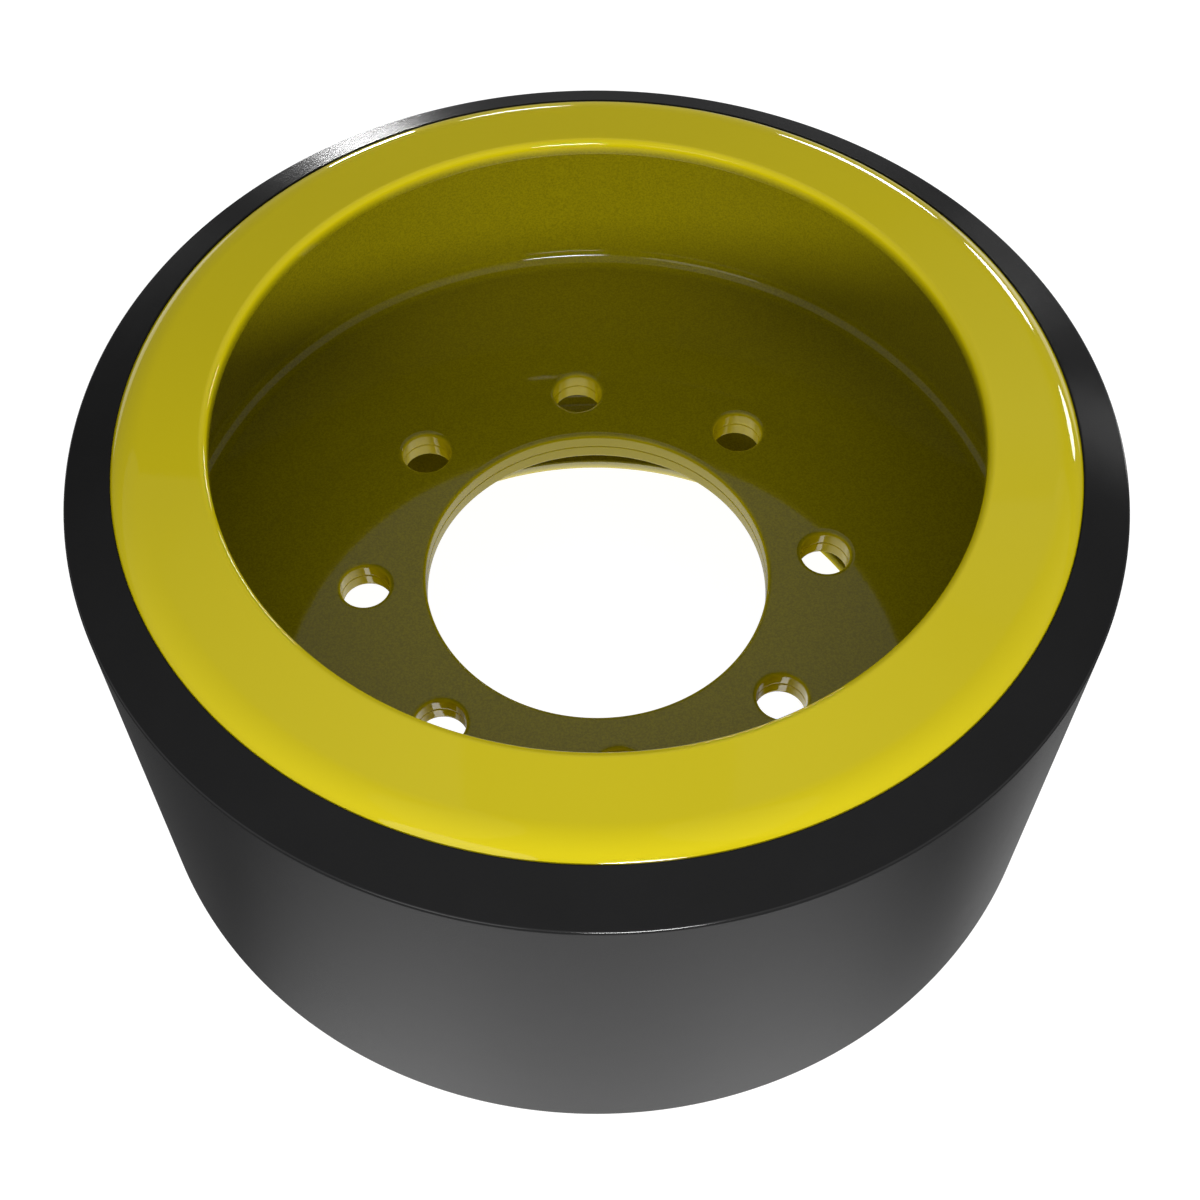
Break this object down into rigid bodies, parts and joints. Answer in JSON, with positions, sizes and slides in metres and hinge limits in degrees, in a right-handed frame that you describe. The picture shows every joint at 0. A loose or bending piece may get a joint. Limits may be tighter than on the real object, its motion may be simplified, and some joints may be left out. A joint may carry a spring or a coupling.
{
  "type": "tire and wheel assembly",
  "caption": "Wide roller wheel with a plain rubber tyre bonded round two dished steel pressings, bored and drilled to bolt to a hub.",
  "frame": {"origin": "middle of the centre bore, on the plane where the two wheel halves meet", "axes": "+Z along the wheel's axis, out of the open side that the picture shows, with the wheel lying flat; +X through a bolt hole"},
  "size_m": [0.4221, 0.4222, 0.2294],
  "materials": {
    "tyre": "plain moulded rubber, satin",
    "wheel_paint": "gloss yellow paint"
  },
  "bodies": {
    "root": {"tyre": "tyre", "front_wheel_half": "wheel_paint", "rear_wheel_half": "wheel_paint"}
  },
  "joints": []
}
